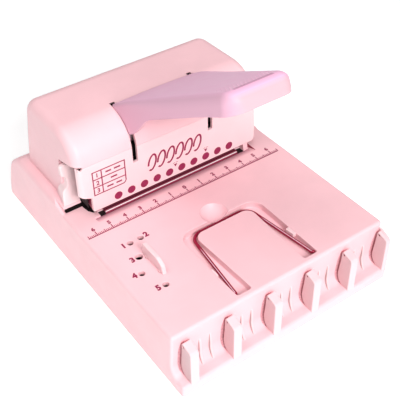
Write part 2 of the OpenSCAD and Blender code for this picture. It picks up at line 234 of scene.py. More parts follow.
MAT = {
    "pink_plastic": plastic("pink_plastic", (0.97, 0.60, 0.640)),
    "pale_plastic": plastic("pale_plastic", (0.97, 0.685, 0.71), rough=0.38),
    # painted light: the lever mauve turns darker on faces that look to the front and on faces that look left, lit and
    # shaded tones painted by facing
    "mauve_plastic": faced("mauve_plastic", (1.0, 0.555, 0.765), (0.77, 0.485, 0.545), 1, -0.30, -0.75, rough=0.40, spec=0.25, left=(0.787, 0.456, 0.586)),
    "grey_plastic": plastic("grey_plastic", (0.50, 0.36, 0.40), rough=0.55, grain=0.25),
    "ground_steel": steel("ground_steel", (0.74, 0.73, 0.74), 0.26, (1.0, 0.06, 1.0)),
    "frame_steel": steel("frame_steel", (0.11, 0.085, 0.09), 0.45, (0.08, 1.0, 1.0), bump=0.05),
    "black_steel": steel("black_steel", (0.09, 0.09, 0.10), 0.42, (1.0, 1.0, 1.0), bump=0.05),
    "spring_steel": steel("spring_steel", (0.52, 0.52, 0.54), 0.30, (1.0, 1.0, 0.3)),
    # painted light: the dark crimson stands for the wire's shade and the pink it reflects, and a painted highlight
    # streak runs along its legs
    "bail_wire": wire("bail_wire", (0.33, 0.009, 0.046), (0.92, 0.60, 0.70), -0.0465, -0.0500),
    "zinc_screw": steel("zinc_screw", (0.68, 0.68, 0.70), 0.30, (1.0, 1.0, 1.0), vary=0.08),
    "foot_rubber": rubber("foot_rubber", (0.045, 0.042, 0.044)),
}
# painted shade and reflection: dark red stands for the shade on the die, guide plate and panel web and the pink they
# reflect
DIE_SHADED = steel("die_steel_painted_shade", (0.40, 0.055, 0.11), 0.34, (0.06, 1.0, 1.0), vary=0.08, bump=0.03, metal=0.25)
# painted highlight: a near-white strip on the die's edge chamfer stands for its glint
EDGE_HIGHLIGHT = steel("die_edge_painted_highlight", (0.96, 0.80, 0.83), 0.30, (0.05, 1.0, 1.0), vary=0.02, bump=0.02, metal=0.2)
# painted shade: the ramp skin darkens towards the throat, the shade under the head painted in
RAMP_SHADE = sloped("ramp_plastic_painted_shade", (0.97, 0.60, 0.648), (0.46, 0.19, 0.25), 0.0012, 0.0056)
# painted shade: hook faces that look left turn darker, a shaded tone of the same pink
HOOK_SHADED = faced("hook_plastic_shaded_sides", (0.97, 0.61, 0.645), (0.68, 0.50, 0.515), 0, -0.3, -0.8)
# painted shade: dark rose standing for the shade on the cove wall behind each hook
GAP_SHADE = rubber("hook_gap_lining", (0.62, 0.31, 0.345))
# painted shade: near-black discs in the floor of the hook pits
PIT_SHADE = rubber("hook_pit_painted_shade", (0.20, 0.055, 0.075))
# painted light: the post is made paler to offset the shade under the head
POST_LIT = plastic("post_plastic_painted_light", (1.0, 0.74, 0.755), rough=0.40)
# painted shade: rib faces that look left turn grey-dark, a shaded tone of the same pink
RIB_SHADED = faced("rib_plastic_shaded_sides", (0.97, 0.64, 0.675), (0.50, 0.41, 0.40), 0, -0.2, -0.8)
# painted shade: a darker mauve strip stands for the shade line along the lever tip's top edge
CREASE_SHADE = plastic("lever_crease_painted_shade", (0.72, 0.36, 0.52))
# painted shade: near-black sheets laid where the slit, the gap and the slot ends lie in deep shade
SHADE_BLACK = rubber("painted_shade_black", (0.010, 0.003, 0.004))
INK = ink("print_ink", (0.30, 0.016, 0.075))


# ------------------------------------------------------------------ outlines

def arc(cx, cy, r, a0, a1, n):
    return [(cx + r * math.cos(math.radians(a0 + (a1 - a0) * i / n)),
             cy + r * math.sin(math.radians(a0 + (a1 - a0) * i / n))) for i in range(n + 1)]


def fillet(corners, n=6):
    """Closed outline from corners (u, v[, radius])."""
    out, m = [], len(corners)
    for i, c in enumerate(corners):
        p = np.array(c[:2], float)
        r = c[2] if len(c) > 2 else 0
        if r <= 0:
            out.append(tuple(p))
            continue
        a = np.array(corners[i - 1][:2], float) - p
        b = np.array(corners[(i + 1) % m][:2], float) - p
        la, lb = np.linalg.norm(a), np.linalg.norm(b)
        a, b = a / la, b / lb
        ang = math.acos(max(-1, min(1, float(a @ b))))
        if ang > math.pi - 1e-3:
            out.append(tuple(p))
            continue
        t = min(r / math.tan(ang / 2), 0.98 * la, 0.98 * lb)
        r = t * math.tan(ang / 2)
        ctr = p + (a + b) / np.linalg.norm(a + b) * (r / math.sin(ang / 2))
        s, e = p + a * t - ctr, p + b * t - ctr
        a0, a1 = math.atan2(s[1], s[0]), math.atan2(e[1], e[0])
        d = (a1 - a0 + math.pi) % (2 * math.pi) - math.pi
        for k in range(n + 1):
            q = a0 + d * k / n
            out.append((ctr[0] + r * math.cos(q), ctr[1] + r * math.sin(q)))
    return out


def catmull(pts, n):
    """Smooth line through the points, n steps for each span."""
    P = [np.array(p, float) for p in pts]
    P = [2 * P[0] - P[1]] + P + [2 * P[-1] - P[-2]]
    out = []
    for i in range(1, len(P) - 2):
        for k in range(n):
            t = k / n
            a, b, c, d = P[i - 1], P[i], P[i + 1], P[i + 2]
            out.append(tuple(0.5 * (2 * b + (c - a) * t + (2 * a - 5 * b + 4 * c - d) * t * t
                                    + (3 * b - a - 3 * c + d) * t ** 3)))
    out.append(tuple(P[-2]))
    return out


def ccw(poly):
    a = sum(poly[i - 1][0] * poly[i][1] - poly[i][0] * poly[i - 1][1] for i in range(len(poly)))
    return list(poly) if a > 0 else list(poly)[::-1]


def inset(poly, d):
    """Outline moved inwards by d, one number or one for each point (poly runs counter-clockwise)."""
    P = np.array(poly, float)
    e1 = P - np.roll(P, 1, 0)
    e2 = np.roll(P, -1, 0) - P
    e1 /= np.maximum(np.linalg.norm(e1, axis=1), 1e-9)[:, None]
    e2 /= np.maximum(np.linalg.norm(e2, axis=1), 1e-9)[:, None]
    n1 = np.stack([-e1[:, 1], e1[:, 0]], 1)
    n2 = np.stack([-e2[:, 1], e2[:, 0]], 1)
    m = (n1 + n2) / np.maximum(1 + (n1 * n2).sum(1), 0.25)[:, None]
    return P + m * np.broadcast_to(np.asarray(d, float), (len(P),))[:, None]


def smooth01(t):
    t = min(1.0, max(0.0, t))
    return t * t * (3 - 2 * t)


# -------------------------------------------------------------------- solids

def solid(name, verts, faces):
    """A closed mesh object, still in millimetres, with its faces turned outwards."""
    me = bpy.data.meshes.new(name)
    me.from_pydata([tuple(map(float, v)) for v in verts], [], faces)
    bm = bmesh.new()
    bm.from_mesh(me)
    bmesh.ops.remove_doubles(bm, verts=bm.verts, dist=1e-5)
    bmesh.ops.recalc_face_normals(bm, faces=bm.faces)
    bm.to_mesh(me)
    bm.free()
    ob = bpy.data.objects.new(name, me)
    col.objects.link(ob)
    return ob


def loft(rings):
    n = len(rings[0])
    verts = [v for r in rings for v in r]
    faces = []
    for k in range(len(rings) - 1):
        for i in range(n):
            j = (i + 1) % n
            faces.append((k * n + i, k * n + j, (k + 1) * n + j, (k + 1) * n + i))
    faces.append(tuple(reversed(range(n))))
    faces.append(tuple((len(rings) - 1) * n + i for i in range(n)))
    return verts, faces


def xprism(name, poly, x0, x1, r0=0.0, r1=0.0, seg=6):
    """A (y, z) outline drawn out along X, its end edges rounded by r0 and r1 (one radius or one for each point)."""
    poly = ccw(poly)
    n = len(poly)
    r0 = np.broadcast_to(np.asarray(r0, float), (n,))
    r1 = np.broadcast_to(np.asarray(r1, float), (n,))
    rings = []
    if r0.max() > 0:
        for k in range(seg):
            f = math.pi / 2 * k / seg
            q = inset(poly, r0 * (1 - math.sin(f)))
            rings.append([(x0 + r0[i] * (1 - math.cos(f)), q[i][0], q[i][1]) for i in range(n)])
    rings.append([(x0 + r0[i], poly[i][0], poly[i][1]) for i in range(n)])
    rings.append([(x1 - r1[i], poly[i][0], poly[i][1]) for i in range(n)])
    if r1.max() > 0:
        for k in reversed(range(seg)):
            f = math.pi / 2 * k / seg
            q = inset(poly, r1 * (1 - math.sin(f)))
            rings.append([(x1 - r1[i] * (1 - math.cos(f)), q[i][0], q[i][1]) for i in range(n)])
    return solid(name, *loft(rings))


def zprism(name, poly, z0, z1, r0=0.0, r1=0.0, seg=4, put=None):
    """An (x, y) outline drawn out along Z with rounded ends; put maps (x, y, z) to where it goes."""
    poly = ccw(poly)
    put = put or (lambda x, y, z: (x, y, z))
    rings = []
    if r0 > 0:
        for k in range(seg):
            f = math.pi / 2 * k / seg
            rings.append([put(p[0], p[1], z0 + r0 * (1 - math.cos(f))) for p in inset(poly, r0 * (1 - math.sin(f)))])
    rings.append([put(p[0], p[1], z0 + r0) for p in poly])
    rings.append([put(p[0], p[1], z1 - r1) for p in poly])
    if r1 > 0:
        for k in reversed(range(seg)):
            f = math.pi / 2 * k / seg
            rings.append([put(p[0], p[1], z1 - r1 * (1 - math.cos(f))) for p in inset(poly, r1 * (1 - math.sin(f)))])
    return solid(name, *loft(rings))


def block(name, a, b):
    return zprism(name, [(a[0], a[1]), (b[0], a[1]), (b[0], b[1]), (a[0], b[1])], a[2], b[2])


def pocket(name, poly, depth, lip=0.5, floor=0.5, z=0.0, seg=5):
    """Cutter for a pocket in a level face at z: rounded lip at the top, rounded foot at the floor."""
    poly = ccw(poly)
    rings = []
    f0 = math.radians(14)
    o = lip * (1 - math.sin(f0))
    rings.append([(p[0], p[1], z + 0.8) for p in inset(poly, -(o + 1.4))])
    for k in range(seg + 1):
        f = f0 + (math.pi / 2 - f0) * k / seg
        rings.append([(p[0], p[1], z - lip * (1 - math.cos(f))) for p in inset(poly, -lip * (1 - math.sin(f)))])
    for k in range(seg + 1):
        f = math.pi / 2 * k / seg
        rings.append([(p[0], p[1], z - depth + floor * (1 - math.sin(f))) for p in inset(poly, floor * (1 - math.cos(f)))])
    return solid(name, *loft(rings))


def lathe(name, prof, centre, n=32, put=None):
    """Profile (radius, height) turned about an upright axis; the first and last radius are closed by caps."""
    rings = []
    for r, h in prof:
        ring = [(centre[0] + r * math.cos(2 * math.pi * i / n), centre[1] + r * math.sin(2 * math.pi * i / n), centre[2] + h)
                for i in range(n)]
        rings.append([put(*v) for v in ring] if put else ring)
    return solid(name, *loft(rings))


def rod(name, axis, a, b, c, r, n=48):
    """Plain round bar along X or Z, used for cutting and joining."""
    ring = [(r * math.cos(2 * math.pi * i / n), r * math.sin(2 * math.pi * i / n)) for i in range(n)]
    if axis == "x":
        return solid(name, *loft([[(x, b + u, c + v) for u, v in ring] for x in a]))
    return solid(name, *loft([[(b + u, c + v, z) for u, v in ring] for z in a]))


def apply_mods(ob):
    bpy.context.view_layer.update()
    dg = bpy.context.evaluated_depsgraph_get()
    me = bpy.data.meshes.new_from_object(ob.evaluated_get(dg), preserve_all_data_layers=True, depsgraph=dg)
    old = ob.data
    ob.modifiers.clear()
    ob.data = me
    bpy.data.meshes.remove(old)


def drop(ob):
    me = ob.data
    bpy.data.objects.remove(ob)
    bpy.data.meshes.remove(me)


def boolean(ob, others, op="DIFFERENCE", keep=False):
    for other in others if isinstance(others, (list, tuple)) else [others]:
        m = ob.modifiers.new("cut", "BOOLEAN")
        m.operation = op
        m.object = other
        m.solver = "EXACT"
        apply_mods(ob)
        if not keep:
            drop(other)
    return ob


def copy_of(ob, name):
    c = bpy.data.objects.new(name, ob.data.copy())
    col.objects.link(c)
    return c


def join(name, parts):
    verts, faces, n = [], [], 0
    for p in parts:
        verts += [tuple(v.co) for v in p.data.vertices]
        faces += [tuple(i + n for i in f.vertices) for f in p.data.polygons]
        n = len(verts)
        drop(p)
    me = bpy.data.meshes.new(name)
    me.from_pydata(verts, [], faces)
    ob = bpy.data.objects.new(name, me)
    col.objects.link(ob)
    return ob


def finish(ob, body, mat, bevel=0.0, seg=2, angle=42, sharp=45, replaces=(), clamp=False, where=None):
    """Rounds what is still sharp, moves the mesh to the row frame and gives it its material and body."""
    bm = bmesh.new()
    bm.from_mesh(ob.data)
    bmesh.ops.remove_doubles(bm, verts=bm.verts, dist=2e-4)
    bmesh.ops.dissolve_degenerate(bm, edges=bm.edges, dist=2e-4)
    bm.to_mesh(ob.data)
    bm.free()
    if bevel > 0:
        m = ob.modifiers.new("edge", "BEVEL")
        m.width = bevel
        m.segments = seg
        m.use_clamp_overlap = clamp
        m.miter_outer = "MITER_ARC"
        if where:
            # only the sharp edges that where() picks
            bm = bmesh.new()
            bm.from_mesh(ob.data)
            lay = bm.edges.layers.float.new("bevel_weight_edge")
            for e in bm.edges:
                if len(e.link_faces) == 2 and e.calc_face_angle() > math.radians(angle) and where(e):
                    e[lay] = 1.0
            bm.to_mesh(ob.data)
            bm.free()
            m.limit_method = "WEIGHT"
        else:
            m.limit_method = "ANGLE"
            m.angle_limit = math.radians(angle)
        apply_mods(ob)
    me = ob.data
    me.transform(Matrix.Scale(0.001, 4) @ Matrix.Translation(SHIFT))
    me.shade_smooth()
    me.set_sharp_from_angle(angle=math.radians(sharp))
    m = ob.modifiers.new("normals", "WEIGHTED_NORMAL")
    m.keep_sharp = True
    m.weight = 50
    apply_mods(ob)
    ob.data.materials.clear()
    ob.data.materials.append(mat if not isinstance(mat, str) else MAT[mat])
    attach(ob, body)
    if replaces:
        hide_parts(*replaces)
    return ob


# ----------------------------------------------------------------- base body

def cove_line():
    """Quarter round under the front wall, running out into the flat floor of the cove."""
    return arc(-90.5, -22, 10, 0, -33, 7) + fillet([(-82.11, -27.45), (-83.28, -29.25, 3.85), (-86.0, -29.25)], 7)[1:]


def cove_path(z_top):
    """Points of the front wall and the cove from z_top down, each with its outward direction."""
    line = [(-80.5 - 1.7 * (z + 22) / 20.8, z) for z in np.linspace(z_top, -20, 7)] + cove_line()
    out = []
    for k, p in enumerate(line):
        a, b = line[max(0, k - 1)], line[min(len(line) - 1, k + 1)]
        d = math.hypot(b[0] - a[0], b[1] - a[1])
        out.append((p[0], p[1], (b[1] - a[1]) / d, -(b[0] - a[0]) / d))
    return out


def make_base():
    rear = catmull([(80, 4), (84.5, 2.75), (88.2, 0), (91.2, -2.5), (93.9, -5.6), (97.4, -12.3), (100.4, -19.9),
                    (102.9, -26.6), (104.8, -32.8)], 3)
    top = fillet([(105, -46), (104.95, -36)] + [(60, 4), (26, 4, 1.6), (26, 0, 0.6), (-82.3, 0, 1.7), (-80.5, -22)], 7)
    k = next(i for i, p in enumerate(top) if abs(p[0] - 60) < 1e-6)
    cove = cove_line()[:-1]
    lip = fillet([(-84.5, -29.25), (-90.5, -29.25, 1.7), (-90.5, -46)], 6)
    plat = [(y, 4) for y in (70, 58, 48, 41, 38, 35, 32, 29.5)]
    outline = [(-90.5, -46)] + top[:k] + rear[::-1] + plat + top[k + 1:-1] + cove + lip[1:-1]
    outline = ccw(outline)
    rl = np.array([1.55 + 2.0 * smooth01((p[0] - 30) / 11.0) - 1.7 * smooth01((p[0] - 84) / 9.0) for p in outline])
    rr = np.array([1.55 + 3.4 * smooth01((p[0] - 84) / 9.0) for p in outline])
    base = xprism("base_body", outline, XL, XR, rl, rr, 7)
    boolean(base, block("cut_foot", (-90, -120, -60), (90, 130, -36)))

    hollow = xprism("hollow", [(-78, -60), (-78, -21.8), (-79.7, -2.5), (87.5, -2.5), (91.5, -7), (95, -13.5), (97.9, -20.8),
                               (100.4, -27.5), (102.3, -33.4), (102.4, -60)], XL + 2.5, XR - 2.5)
    boolean(hollow, [block("bed1", (-57, 7, -6), (57, 39, 0)), block("bed2", (-31, -81, -7), (31, -13, 0))]
            + [rod("post", "z", (-34, 0), x, y, 3.5, 24) for x, y in ((-60, -58), (61.8, -58), (-60, 72), (61.8, 72))])
    boolean(base, hollow)

    # throat: bay of the punch frame, gap beside it, seat of the die, slot, ramp, chip slot, paper slit
    boolean(base, [
        block("bay", (-51.6, 14, 0.02), (51.6, 37, 9)),
        zprism("gap_l", fillet([(-55.3, 31), (-55.3, 25.2), (-54.6, 20.2, 1.5), (-52.7, 17.2, 0.8), (-51.2, 17.2), (-51.2, 31)], 4), -2.3, 9),
        block("seat", (-47.2, 13.8, -2.5), (45.2, 36.3, 2)),
        block("slot", (-50.8, 13.0, -4.2), (48.8, 17, 2)),
        xprism("ramp", [(7.9, 0), (9.5, -0.2), (11, -0.46), (12.2, -0.75), (13.01, -1.0), (13.01, 2), (7.0, 2), (7.0, 0.9)], -54.4, 54.8),
        xprism("ramp_end", [(8.4, 0), (17.4, -2.7), (17.4, 2), (7.4, 2), (7.4, 0.9)], 52.2, 54.8),
        block("chips", (-41.5, 19, -9), (41.5, 26, 1)),
        zprism("slit_l", fillet([(-66, -0.14, 1.2), (-54, -0.14), (-54, 2.6), (-66, 2.6, 1.25)], 6), 25.6, 31, put=lambda a, b, c: (a, c, b)),
        block("slit_r", (51, 25.6, -0.14), (61.2, 31, 2.6)), block("open_r", (60.9, 25.0, -0.15), (XR + 1, 33, 8)),
        xprism("slope", [(25, 0.6), (26.8, 0.6), (36, 4.0), (37, 4.02), (37, 8), (25, 8)], XL - 1, -66.2),
    ])

    # trough of the bail, finger dish, index holes
    u = fillet([(26.2, -78.6, 1.3), (26.2, -26.2, 8), (-26.2, -26.2, 8), (-26.2, -78.6, 1.3), (-17.3, -78.6, 1.3),
                (-18.9, -30.55, 5.4), (18.9, -30.55, 5.4), (17.3, -78.6, 1.3)], 8)
    boolean(base, pocket("trough", u, 4.2, 0.45, 0.6))
    boolean(base, [rod("bore", "x", (-29.8, -26), -76.3, -2.1, 0.95, 24), rod("bore", "x", (26, 29.8), -76.3, -2.1, 0.95, 24)])
    dish = [(9.6, 0.8)] + [(8.0 * math.sin(math.radians(a)) / math.sin(math.radians(55)),
                            4.2 * (math.cos(math.radians(55)) - math.cos(math.radians(a))) / (1 - math.cos(math.radians(55))))
                           for a in (60, 55, 48, 40, 32, 24, 16, 8, 2)]
    boolean(base, lathe("dish", dish, (0.5, -22.5, 0), 40))
    for x, y, q in ((-49.2, -15.4, 1.7), (-42.5, -15.1, 1.7), (-50.9, -26.8, 2.1), (-46.95, -29.5, 1.7), (-56.1, -37.9, 1.7),
                    (-46.95, -42, 1.7), (-50.4, -51.3, 1.7)):
        boolean(base, pocket("index", [(x + p[0], y + p[1]) for p in arc(0, 0, q, 0, 345, 23)], 6, 0.4, 0.4, seg=4))

    # doorway of the chip drawer in the right wall
    door = zprism("door", fillet([(10, -34, 0.8), (60, -34, 0.8), (60, -7, 0.8), (10, -7, 0.8)], 4), XR - 4, XR + 2,
                  put=lambda a, b, c: (c, a, b))
    boolean(base, door)
    def edge_ok(e):
        m = (e.verts[0].co + e.verts[1].co) / 2
        if -34.5 < m.z < -6.5 and 9 < m.y < 61 and m.x > XR - 3:
            return m.x > XR - 0.1
        return XL + 2.0 < m.x < XR - 2.0 and m.z > -0.5 and m.y > 7

    return finish(base, "base", "pink_plastic", bevel=0.22, seg=2, angle=50, where=edge_ok,
                  replaces=("base_shell", "hook_rail", "rear_platform"))


def make_ribs():
    """Pairs of short raised ribs in the cove, tapering out at both ends."""
    path = cove_path(-12.3)[:-3]
    parts = []
    for i in range(5):
        for d in (11.1, 17.5):
            x = -63 + i * 25.88 + d
            rings = []
            for k, (y, z, ny, nz) in enumerate(path):
                h = 1.4 * math.sin(math.pi * k / (len(path) - 1)) ** 0.7
                sec = [(0, -0.6), (0, h - 0.4), (0.12, h - 0.12), (0.4, h), (1.1, h), (1.38, h - 0.12), (1.5, h - 0.4), (1.5, -0.6)]
                rings.append([(x + u, y + v * ny, z + v * nz) for u, v in sec])
            parts.append(solid("rib", *loft(rings)))
    # the ribs carry painted shade on their faces that look left
    return finish(join("cove_ribs", parts), "base", RIB_SHADED)


def make_hooks():
    """Ring hooks: each stands free of the cove behind it and grows out of the lip."""
    back = [(-90.5 + q * math.cos(math.radians(a)), -22 + q * math.sin(math.radians(a)))
            for a, q in ((0, 8.95), (-9, 8.98), (-18, 9.0), (-27, 9.02), (-36, 9.0), (-43, 8.9), (-48, 8.85), (-53, 9.0), (-58, 9.15), (-64, 9.25), (-72, 9.3), (-84, 9.3))]
    front = [(-90.3, -32.0), (-90.3, -9.2)] + arc(-88.1, -9.2, 2.2, 180, 116, 5)[1:]
    prof = back + front + fillet([(-88.1, -7.2), (-83.6, -5.3, 0.4), (-82.75, -6.5, 0.3), (-82.7, -9)], 3)[1:-1] \
        + [(-82.6, -10), (-82.35, -14), (-81.9, -18.2)]
    plate = arc(-90.5, -22, 10.2, 0, -84, 14) + front + [(-83.6, -4.7), (-81.4, -4.7)]
    parts = []
    for i in range(6):
        x = -63 + i * 25.88
        hook = xprism("hook", prof, x, min(x + 5.2, XR - 0.6), 0.5, 0.5, 4)
        # small pit at the root of the hook
        boolean(hook, rod("pit", "x", (x - 1, x + 0.7), -84.45, -7.1, 0.75, 20))
        parts.append(hook)
    parts.append(xprism("end", plate, XR - 1.4, XR, 0.3, 0.5, 3))
    path = cove_path(-6.3)
    n = len(path) - 1
    edge = [0.6 - 1.7 * min(1.0, k / 2.5) + 1.5 * smooth01((k - 0.45 * n) / (0.55 * n)) for k in range(n + 1)]
    gap_shades, pit_shades = [], []
    for i in range(6):
        x = -63 + i * 25.88
        # painted shade: a thin dark rose strip on the cove wall behind each hook
        rings = [[(x + u, y + v * ny, z + v * nz) for u, v in ((e, -0.1), (e, 0.03), (2.6, 0.03), (2.6, -0.1))] for (y, z, ny, nz), e in zip(path, edge)]
        gap_shades.append(solid("gap", *loft(rings)))
        # painted shade: a dark disc in the floor of each hook pit
        pit_shades.append(rod("pit_floor_shade", "x", (x + 0.28, x + 0.72), -84.45, -7.1, 0.74, 20))
    finish(join("hook_gap_linings", gap_shades), "base", GAP_SHADE)
    finish(join("hook_pit_shade_discs", pit_shades), "base", PIT_SHADE)
    # the hooks carry painted shade on their faces that look left
    return finish(join("ring_hooks_moulded", parts), "base", HOOK_SHADED, replaces=("ring_hooks",))


# ---------------------------------------------------------------- punch head

def head_outline(d):
    return ccw([(79.5 - d + 1.9, -6), (13.6 + d, -6)]
               + arc(33, 33, 19.4 - d, 180, 90, 22) + arc(60.2, 40.9, 11.5 - d, 90, 10, 14)
               + [(76 - d, 22.5), (79.5 - d, 4)])


def head_r(p):
    """Rounding of the head's end edges at a point of its outline."""
    if p[0] < 40:
        return 5.2
    if p[1] > 38:
        return 5.2 + 0.9 * smooth01((p[0] - 40) / 15.0)
    return 6.1 - 2.3 * smooth01((38 - p[1]) / 30.0)


def draft(ob):
    """The ends of the head lean inwards towards the top."""
    for v in ob.data.vertices:
        k = max(0.0, v.co.z - 4) / 48.0
        v.co.x = -0.75 + (v.co.x + 0.75) * (1 - (3.0 if v.co.x > -0.75 else 0.5) / 61.25 * k)
    return ob


def lever_slots():
    return [block("slot", (-0.45 + s * 25.05 - 1.5, 8, 25), (-0.45 + s * 25.05 + 1.5, 35.2, 60)) for s in (-1, 1)]


def make_head():
    out = head_outline(0)
    r = np.array([head_r(p) for p in out])
    inn = head_outline(2.2)
    ri = np.array([3.0 - 1.0 * smooth01((p[0] - 30) / 40.0) for p in inn])

    # front panel: runs round the right corner, ends in a column at the left
    panel = draft(xprism("front_panel_moulded", out, -60.7, 60.5, 3.2, r, 8))
    boolean(panel, draft(xprism("panel_in", inn, -58.5, 58.3, 1.6, ri, 6)))
    boolean(panel, lever_slots())
    face = zprism("face", fillet([(-66, 18.2), (-54, 13.3), (-54, 3.6, 0.8), (60.6, 3.6, 5.5), (60.6, 34.9), (-66, 34.9)], 8),
                  5, 17.2, put=lambda a, b, c: (a, c, b))
    boolean(panel, face, "INTERSECT")
    boolean(panel, zprism("nick", [(-59.7, 36), (-57.0, 36), (-57.2, 34.9), (-58.4, 33.4), (-59.5, 34.9)], 5, 18, put=lambda a, b, c: (a, c, b)))
    finish(panel, "base", "pale_plastic", bevel=0.3, seg=3, angle=38, replaces=("front_panel",))

    shell = draft(xprism("head_cover_moulded", out, -62, 60.5, r, r, 8))
    boolean(shell, draft(xprism("head_in", inn, -59.8, 58.3, ri, ri, 6)))
    boolean(shell, lever_slots())
    boolean(shell, [block("room", (-70, 5, -10), (70, 17.3, 35.0)),
                    xprism("corner", [(5, -10), (33.2, -10), (33.2, 31.7), (28.2, 32.7), (23, 34.3), (17.3, 35.8), (5, 35.8)], -70, -57.4),
                    block("foot1", (-70, 5, -10), (70, 27, 3.6)), block("foot2", (-70, 20, -10), (70, 90, 4.0))])
    posts = [rod("boss", "z", (4.0, 18), x, y, 3.6, 32) for x, y in ((-56.5, 66), (55, 66))]
    boolean(shell, posts, "UNION")
    return finish(shell, "base", "pink_plastic", bevel=0.22, seg=2, angle=50, replaces=("head_cover",))


def make_post():
    """Post in the head's cut-out, painted paler to offset the head's shade: broad foot with a raked back, narrow waist,
    square cap.
    """
    levels = [(4.0, (-65.3, 26.9), (-55.2, 26.9), (-55.2, 36.0), (-62.3, 41.0), 0.5),
              (7.0, (-65.1, 27.1), (-55.2, 27.1), (-55.2, 35.2), (-62.6, 39.6), 0.7),
              (11.0, (-64.8, 27.4), (-55.2, 27.4), (-55.2, 34.0), (-62.9, 37.2), 0.9),
              (13.4, (-64.2, 27.7), (-55.2, 27.7), (-55.2, 33.4), (-62.6, 35.2), 0.9),
              (15.0, (-61.7, 27.95), (-55.2, 27.95), (-55.2, 33.0), (-61.2, 33.6), 0.8),
              (16.4, (-60.8, 28.0), (-55.2, 28.0), (-55.2, 33.0), (-60.8, 33.0), 0.7),
              (21.0, (-60.8, 28.0), (-55.2, 28.0), (-55.2, 33.0), (-60.8, 33.0), 0.7),
              (22.2, (-61.6, 28.0), (-55.2, 28.0), (-55.2, 33.0), (-61.6, 33.0), 0.7),
              (23.4, (-63.5, 28.0), (-55.2, 28.0), (-55.2, 31.6), (-63.5, 31.6), 0.8),
              (29.0, (-63.9, 28.0), (-55.2, 28.0), (-55.2, 30.8), (-63.9, 30.8), 0.9),
              (29.9, (-63.6, 28.2), (-55.4, 28.2), (-55.4, 30.6), (-63.6, 30.6), 0.8),
              (30.4, (-62.8, 28.5), (-55.8, 28.5), (-55.8, 30.2), (-62.8, 30.2), 0.6)]
    rings = [[(x, y, z) for x, y in fillet([a + (r,), b + (r,), c + (r,), d + (r,)], 5)] for z, a, b, c, d, r in levels]
    return finish(solid("left_post_moulded", *loft(rings)), "base", POST_LIT, replaces=("left_post",), sharp=60)


